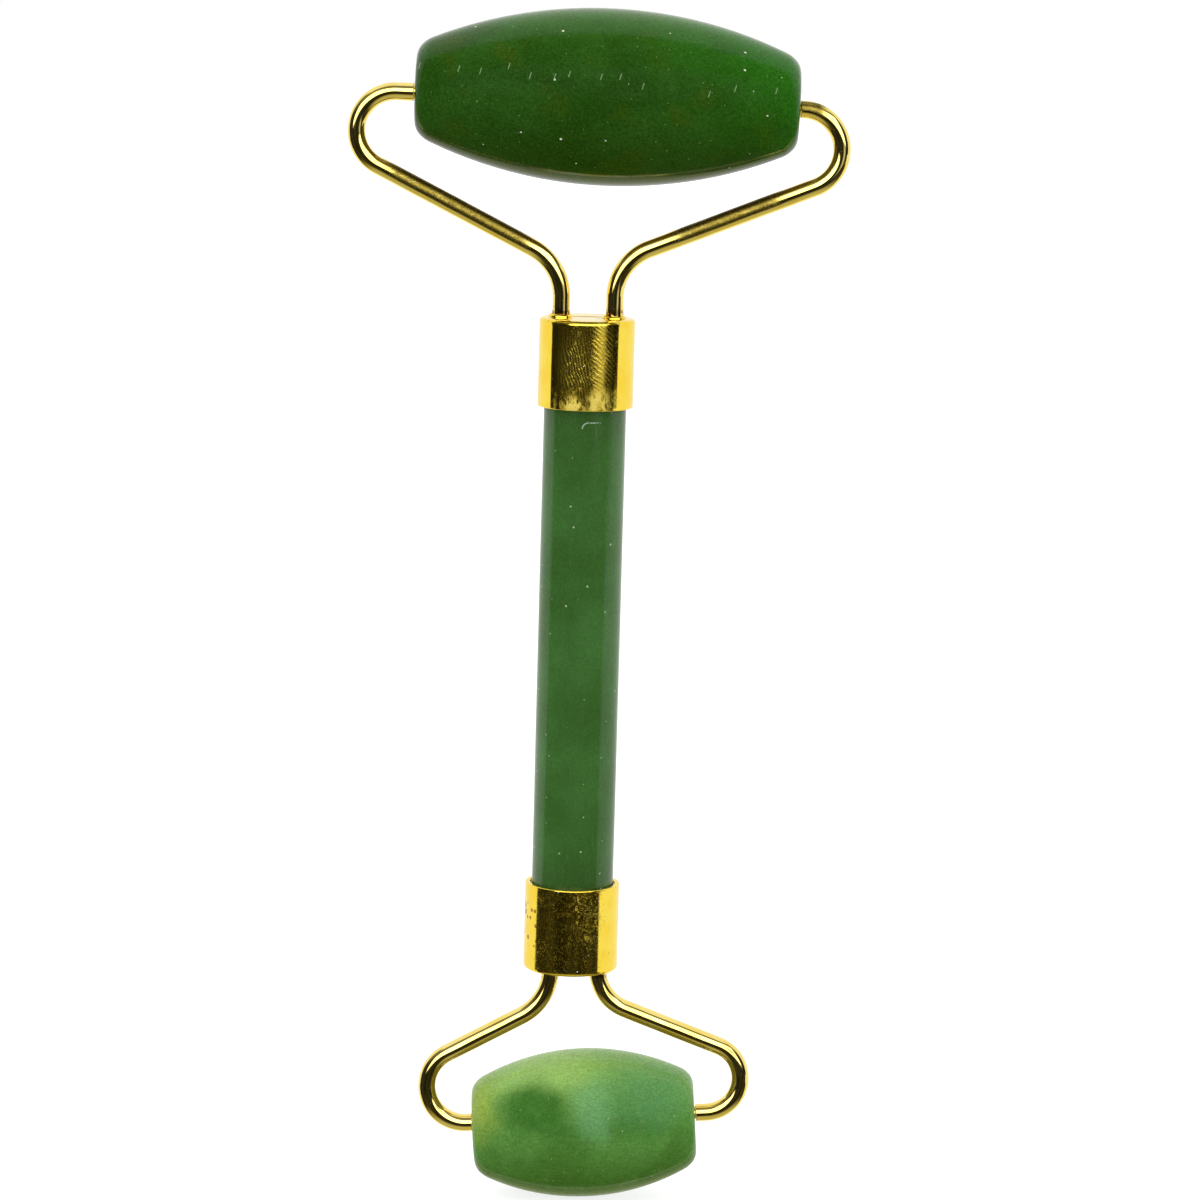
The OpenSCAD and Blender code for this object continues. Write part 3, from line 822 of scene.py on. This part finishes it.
def wire_path(arm):
    """(x, z, heading) points of an arm from its tail to the end of its loop, and the place and
    heading of its straight end. Worked out on the right, with the yoke pointing up."""
    def polar(length, angle):
        return Vector((math.cos(angle), math.sin(angle))) * length
    stone = arm.stone
    quarter = math.pi / 2
    tilt = math.radians(arm.side * stone.tilt)
    seat = Vector((arm.side * stone.centre.x, abs(stone.centre.z)))
    shoulder = seat + polar(stone.half + arm.gap, tilt)
    loop_out = shoulder + polar(arm.run, tilt)
    loop_c = loop_out + polar(arm.loop_r, tilt - quarter)
    loop_in = loop_c + polar(arm.loop_r, arm.slope - quarter)

    corner_z = loop_in.y - (loop_in.x - arm.root) * math.tan(arm.slope)
    corner_run = arm.bend_r * math.tan((quarter - arm.slope) / 2)
    bend_c = Vector((arm.root + arm.bend_r, corner_z - corner_run))
    bend_out = Vector((arm.root, corner_z)) + polar(corner_run, arm.slope)
    tail_z = upright_box(stone, stone.end + "_cup")[1] - CUP_WALL - TAIL_LEN

    points = []

    def straight(start, end, heading):
        steps = max(1, round((end - start).length / 0.3))
        for i in range(steps):
            points.append((*start.lerp(end, i / steps), heading))

    def bend(centre, radius, first, sweep, turn):
        steps = max(4, round(radius * abs(sweep) / 0.2))
        for i in range(steps):
            angle = first + sweep * i / steps
            points.append((*(centre + polar(radius, angle)), angle + turn))
    straight(Vector((arm.root, tail_z)), Vector((arm.root, bend_c.y)), quarter)
    bend(bend_c, arm.bend_r, math.pi, arm.slope - quarter, -quarter)
    straight(bend_out, loop_in, arm.slope)
    bend(loop_c, arm.loop_r, arm.slope - quarter, math.pi + tilt - arm.slope, quarter)
    return points, loop_out, tilt + math.pi


def make_arm(arm, material):
    end, up, side = arm.stone.end, arm.stone.up, arm.side
    points, loop_out, heading = wire_path(arm)
    sides = 56
    angles = np.linspace(0, 2 * math.pi, sides, endpoint=False)
    uneven = ripple(20 + up + 5 * side, 1.4, 0.006)
    form = Form()
    rings = []

    def ring(x, z, heading, radius, along):
        radii = radius + uneven(angles, along) * (radius > 1.05)
        across = radii * np.cos(angles)
        xs = side * (x - math.sin(heading) * across)
        zs = up * (z + math.cos(heading) * across)
        ys = radii * np.sin(angles)
        rings.append(form.ring(list(zip(xs.tolist(), ys.tolist(), zs.tolist()))))

    def tip(x, z):
        rings.append(form.ring([(side * x, 0.0, up * z)]))
    start = points[0]
    tip(start[0], start[1])
    foot = [(0.3, 0, 0), (WIRE_R, 0, 0.12), (WIRE_R, 0.3, 0)]
    for radius, length in polyline(foot, 0.15)[:-1]:
        ring(start[0], start[1] + length, start[2], radius, length)
    along, last = 0.0, start
    for x, z, turn in points[1:]:
        along += math.hypot(x - last[0], z - last[1])
        last = (x, z, turn)
        ring(x, z, turn, WIRE_R, along)
    pin_end = arm.run + arm.gap + PIN_DEPTH
    ending = [
        (WIRE_R, 0, 0), (WIRE_R, arm.run, 0.1), (PIN_R, arm.run, 0.03),
        (PIN_R, pin_end, 0.2), (0.2, pin_end, 0),
    ]
    for radius, length in polyline(ending, 0.15):
        x = loop_out.x + math.cos(heading) * length
        z = loop_out.y + math.sin(heading) * length
        ring(x, z, heading, radius, along + length)
    tip(x, z)
    for a, b in zip(rings, rings[1:]):
        form.bridge(a, b)
    piece = form.build(f"{end}_wire_{SIDE_NAMES[side]}")
    node = f"{end}_arm_{SIDE_NAMES[side]}"
    finish_piece(piece, "handle", "wire_gold", material, node)


def flip(form, up):
    """Turns a form drawn for the upper end into one for the lower end."""
    form.verts = [(x, y, up * z) for x, y, z in form.verts]


def make_cup(stone, material):
    end, up = stone.end, stone.up
    mouth, face, outer = upright_box(stone, end + "_cup")
    inner, floor = outer - CUP_WALL, face - CUP_WALL
    corners = [
        (outer - 1.1, face, 0),
        (outer, face, CUP_EDGE_R),
        (outer, mouth, CUP_LIP_R),
        (inner, mouth, 0.08),
        (inner, floor, 0.15),
        (inner - 0.6, floor, 0),
    ]
    dent = ripple(31 + up, 0.9, 0.006)
    form = Form()
    top, bottom = form.lathe(
        polyline(corners, 0.2), 192,
        lambda r, a, z: (r + dent(a, z) * (r > outer - 0.45), z),
    )
    upper, lower = [], []
    for arm in ARMS[stone]:
        x, r = arm.side * arm.root, WIRE_R + BOND_GAP
        hole = [form.circle(x, r, z, 48) for z in (face, floor)]
        form.bridge(*hole)
        upper.append(hole[0])
        lower.append(hole[1])
    form.plate(top, upper)
    form.plate(bottom, lower)
    flip(form, up)
    finish_piece(form.build(end + "_cup_brass"), "handle", "cup_brass", material, end + "_cup")


def make_glue(stone, material):
    """The glue plug. Its rim, round the handle at the cup's mouth, is slightly wavy."""
    end, up = stone.end, stone.up
    mouth, back, outer = upright_box(stone, end + "_glue")
    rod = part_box("handle_rod")[1]
    rod_r, rod_end = rod.x / MM + BOND_GAP, rod.z / MM + BOND_GAP
    wavy = ripple(41 + up, 0.5, 0.05)
    corners = [
        (0, rod_end, 0), (rod_r, rod_end, 0), (rod_r, mouth, 0),
        (outer, mouth, 0), (outer, back, 0), (outer - 0.5, back, 0),
    ]
    form = Form()
    _, top = form.lathe(
        polyline(corners, 0.1), 128, lambda r, a, z: (r, z + wavy(a, r) * (z < mouth + 0.02)),
    )
    holes = []
    for arm in ARMS[stone]:
        x, r = arm.side * arm.root, WIRE_R + BOND_GAP
        rim = form.circle(x, r, back, 48)
        foot = form.circle(x, r, back - TAIL_LEN, 48)
        form.bridge(rim, foot)
        form.bridge(foot, form.ring([(x, 0.0, back - TAIL_LEN)]))
        holes.append(rim)
    form.plate(top, holes)
    flip(form, up)
    finish_piece(form.build(end + "_glue_plug"), "handle", "glue", material, end + "_glue")


def make_braze(arm, material):
    """A lumpy bead of braze around a wire where it leaves its cup."""
    end, up, side = arm.stone.end, arm.stone.up, arm.side
    node = f"{end}_braze_{SIDE_NAMES[side]}"
    base = upright_box(arm.stone, node)[0]
    inner = WIRE_R + BOND_GAP
    rng = np.random.default_rng(60 + 3 * up + side)
    lumps = [(rng.uniform(0, 2 * math.pi), rng.uniform(0.25, 0.6), rng.uniform(-0.25, 0.3))
             for _ in range(9)]

    def size(angle):
        total = np.full_like(angle, 0.92)
        for at, width, height in lumps:
            gap = np.angle(np.exp(1j * (angle - at)))
            total = total + height * np.exp(-(gap / width) ** 2)
        return np.clip(total, 0.55, 1.35)
    steps = 14
    section = [(inner, base)]
    for i in range(steps + 1):
        angle = math.pi / 2 * i / steps
        section.append((inner + BRAZE_R * math.cos(angle), base + BRAZE_R * math.sin(angle)))

    def shape(radii, angles, heights):
        grow = size(angles)
        lift = size(angles + 0.7)
        return inner + (radii - inner) * grow, base + (heights - base) * lift
    form = Form()
    first, last = form.lathe(section, 96, shape)
    form.bridge(last, first)
    form.verts = [(x + side * arm.root, y, up * z) for x, y, z in form.verts]
    piece = form.build(f"{end}_bead_{SIDE_NAMES[side]}")
    finish_piece(piece, "handle", "braze", material, node)


def make_sleeve(stone, side, material):
    length = POCKET_DEPTH - BOND_GAP
    bore = PIN_R + RUNNING_GAP
    face = stone.half
    corners = [
        (bore, face - length, 0), (SLEEVE_R, face - length, 0.08), (SLEEVE_R, face, 0.08),
        (bore, face, 0.08), (bore, face - length, 0),
    ]
    form = Form()
    first, last = form.lathe(polyline(corners, 0.25)[:-1], 96)
    form.bridge(last, first)
    form.verts = [(x, y, side * z) for x, y, z in form.verts]
    name = f"{stone.end}_sleeve_{SIDE_NAMES[side]}"
    piece = form.build(name + "_nylon", stone.place)
    finish_piece(piece, stone.end + "_sleeves", "sleeve_nylon", material, name)


jade_large, jade_small, jade_handle = large_jade(), small_jade(), handle_jade()
cup_gold = {LARGE: gold("upper_cup_brass", 1.0, CUP_SHADES, handled),
            SMALL: gold("lower_cup_brass", 1.6, CUP_SHADES, stained)}
wire_gold = gold("wire_gold", 0.6, WIRE_SHADES, dark_yoke_marks, painted_edge_glow=True)
bead_gold = gold("braze", 1.3, CUP_SHADES)
sleeve_material, glue_material = nylon(), epoxy()

make_stone(LARGE, jade_large, "large_jade", 1)
make_stone(SMALL, jade_small, "small_jade", 2)
make_handle(jade_handle)
for stone in (LARGE, SMALL):
    make_cup(stone, cup_gold[stone])
    make_glue(stone, glue_material)
    for arm in ARMS[stone]:
        make_arm(arm, wire_gold)
        make_braze(arm, bead_gold)
        make_sleeve(stone, arm.side, sleeve_material)


# ---- Floor, light and camera

def make_floor():
    """A pale floor under the lower stone. It shows only to the camera, so that the even studio
    light also reaches the object from below."""
    form = Form()
    spread = 3000.0
    height = cad_box[0].z / MM - 0.05
    form.ring([(-spread, -spread, height), (spread, -spread, height),
               (spread, spread, height), (-spread, spread, height)])
    form.faces.append((0, 1, 2, 3))
    floor = form.build("floor")
    floor.visible_glossy = False
    floor.visible_diffuse = False
    material, nodes, place = new_material("pale_floor")
    cloud = nodes.noise(place, 0.02, 2, 0.5)
    colour = nodes.mix(cloud, (0.40, 0.40, 0.40, 1), (0.42, 0.42, 0.42, 1))
    surface(nodes, Base_Color=colour, Roughness=0.9, Emission_Color=(1, 1, 1, 1),
            Emission_Strength=0.8, Specular_IOR_Level=0.0)
    floor.data.materials.append(material)


def white_backdrop(nodes, right, above, back):
    """The backdrop that starts just behind the object, and lower down further back. The low wings
    at its sides set how wide a bright band the lower cup shows."""
    edge = nodes.total(
        nodes.raised(0.005, right, 0.115),
        nodes.fade(above, -0.25, -1.0, 0.0, -0.45),
        nodes.fade(above, 0.0, 1.0, 0.0, 0.07),
    )
    left = nodes.fade(right, -0.5, -0.8)
    low = nodes.product(nodes.fade(above, -0.16, -0.2), nodes.fade(above, -0.42, -0.34))
    wing = nodes.raised(nodes.fade(right, 0.5, 0.8, 0.0, 0.165), left, -0.067)
    edge = nodes.raised(edge, low, wing)
    level = nodes.product(nodes.fade(above, -0.2, -0.16), nodes.fade(above, 0.1, 0.0))
    edge = nodes.total(edge, nodes.product(level, left, 0.04))
    return nodes.fade(nodes.math("SUBTRACT", edge, back), -0.012, 0.012)


def pale_ceiling(nodes, right, above, back):
    """A ceiling that reaches forward over the object."""
    edge = nodes.raised(0.36, right, 0.1)
    inside = nodes.fade(nodes.math("SUBTRACT", edge, back), -0.03, 0.03)
    return nodes.product(inside, nodes.fade(above, 0.68, 0.8))


def wide_softbox(nodes, right, above, back):
    """A softbox around and over the camera, its upper left corner cut off."""
    corner = nodes.math("MAXIMUM", nodes.math("SUBTRACT", above, 0.3), 0.0)
    corner = nodes.math("SUBTRACT", right, nodes.product(corner, 0.9))
    return nodes.product(
        nodes.fade(corner, -0.72, -0.62),
        nodes.fade(right, 0.78, 0.66),
        nodes.fade(above, -0.15, -0.04),
        nodes.fade(above, 0.62, 0.5),
        nodes.fade(back, 0.1, 0.25),
    )


def make_studio():
    """Soft light from all round, a little stronger from above. Polished surfaces see a white
    backdrop behind the object, a dark room in front and a softbox above the camera. The studio
    turns with the camera, as when an object is turned in front of a fixed set."""
    world = bpy.data.worlds.new("studio")
    bpy.context.scene.world = world
    world.use_nodes = True
    world.cycles.sampling_method = "NONE"
    nodes = Tree(world.node_tree)
    direction = nodes.add("ShaderNodeTexCoord").outputs["Generated"]
    height = nodes.split(direction)[2]
    seen = nodes.add("ShaderNodeVectorTransform", {0: direction}, vector_type="VECTOR",
                     convert_from="WORLD", convert_to="CAMERA").outputs[0]
    right, above, ahead = nodes.split(seen)
    back = nodes.product(ahead, -1.0)
    backdrop = white_backdrop(nodes, right, above, back)
    ceiling = pale_ceiling(nodes, right, above, back)
    softbox = wide_softbox(nodes, right, above, back)

    clutter = nodes.noise(seen, 3.0, 3, 0.6)
    light = nodes.fade(clutter, 0.35, 0.7, 0.013, 0.05)
    light = nodes.total(light, nodes.fade(above, -0.6, -0.92, 0.0, 0.5),
                        nodes.fade(above, 0.2, 0.7, 0.0, 0.2))
    light = nodes.math("MAXIMUM", light, nodes.product(softbox, 3.2))
    light = nodes.math("MAXIMUM", light, nodes.math("MAXIMUM", backdrop, ceiling))
    tint = nodes.mix(nodes.fade(above, -0.25, -0.6), (1.0, 0.99, 0.97, 1), (1.0, 0.95, 0.6, 1))
    mirrored = nodes.mix(1.0, nodes.join(light, light, light), tint, "MULTIPLY")

    soft = nodes.raised(1.0, height, 0.5)
    path = nodes.add("ShaderNodeLightPath")
    colour = nodes.mix(path.outputs["Is Glossy Ray"], nodes.join(soft, soft, soft), mirrored)
    colour = nodes.mix(path.outputs["Is Camera Ray"], colour, (1, 1, 1, 1))
    background = nodes.add("ShaderNodeBackground", {"Color": colour, "Strength": 1.0})
    nodes.add("ShaderNodeOutputWorld", {"Surface": background.outputs[0]})


def make_camera():
    """The camera in front of the roller, a little above it and slightly rolled."""
    elevation, roll, distance = math.radians(8.9), math.radians(1.58), 0.564
    aim = Vector((2.448, 0, 5.707)) * MM
    right = Vector((1, 0, 0))
    up = Vector((0, math.sin(elevation), math.cos(elevation)))
    back = Vector((0, -math.cos(elevation), math.sin(elevation)))
    right, up = (right * math.cos(roll) + up * math.sin(roll),
                 up * math.cos(roll) - right * math.sin(roll))
    data = bpy.data.cameras.new("camera")
    data.sensor_width = 36
    data.lens = 138.8
    data.clip_start, data.clip_end = 0.01, 20
    camera = bpy.data.objects.new("camera", data)
    bpy.context.scene.collection.objects.link(camera)
    turn = Matrix((right, up, back)).transposed()
    camera.matrix_world = Matrix.Translation(aim + back * distance) @ turn.to_4x4()
    bpy.context.scene.camera = camera
    return camera


def make_strip(camera):
    """A short strip light to the right in front of the upper cup, seen only in reflections."""
    form = Form()
    distance = 364.0
    corners = [(60, -60), (225, -60), (225, 40), (60, 40)]
    form.ring([(x, y, -distance) for x, y in corners])
    form.faces.append((0, 1, 2, 3))
    strip = form.build("strip_light")
    strip.parent = camera
    for ray in ("camera", "diffuse", "shadow", "transmission"):
        setattr(strip, "visible_" + ray, False)
    material, nodes, place = new_material("strip_light")
    x, y, _ = nodes.split(place)
    glow = nodes.product(nodes.fade(x, 65, 140), nodes.fade(x, 220, 175),
                         nodes.fade(y, -58, -40), nodes.fade(y, 38, 10))
    shine = nodes.add("ShaderNodeEmission", {"Color": (1, 1, 1, 1), "Strength": 0.62})
    clear = nodes.add("ShaderNodeBsdfTransparent")
    shader = nodes.add("ShaderNodeMixShader", {0: glow, 1: clear.outputs[0], 2: shine.outputs[0]})
    nodes.add("ShaderNodeOutputMaterial", {"Surface": shader.outputs[0]})
    strip.data.materials.append(material)


make_floor()
make_studio()
make_strip(make_camera())
bpy.context.scene.view_settings.view_transform = "Standard"
